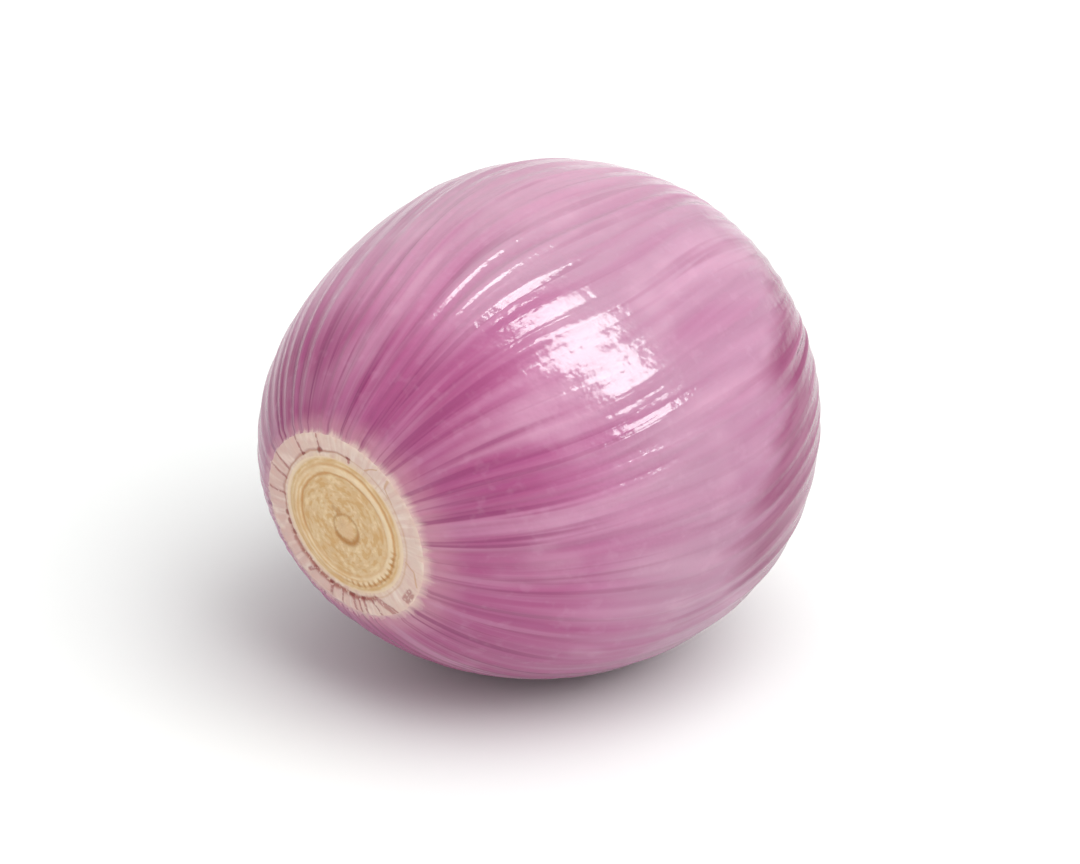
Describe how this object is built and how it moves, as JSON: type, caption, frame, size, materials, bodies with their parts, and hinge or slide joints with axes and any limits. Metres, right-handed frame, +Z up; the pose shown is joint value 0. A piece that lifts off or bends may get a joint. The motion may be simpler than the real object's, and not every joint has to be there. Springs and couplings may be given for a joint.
{
  "type": "pink shallot",
  "caption": "Peeled pink shallot bulb with glossy veined skin, trimmed flat at the root and the neck, lying on a small flat spot on its side.",
  "frame": {"origin": "on the surface that the bulb rests on, under the middle of its bounding box", "axes": "+Z up, +Y along the bulb from the root end to the neck end, +X to its right seen from the root end"},
  "size_m": [0.0384, 0.0398, 0.0365],
  "materials": {
    "skin": "glossy moist skin, pink with darker lengthwise veins, cream at the cuts"
  },
  "bodies": {
    "root": {"shallot_bulb": "skin"}
  },
  "joints": []
}
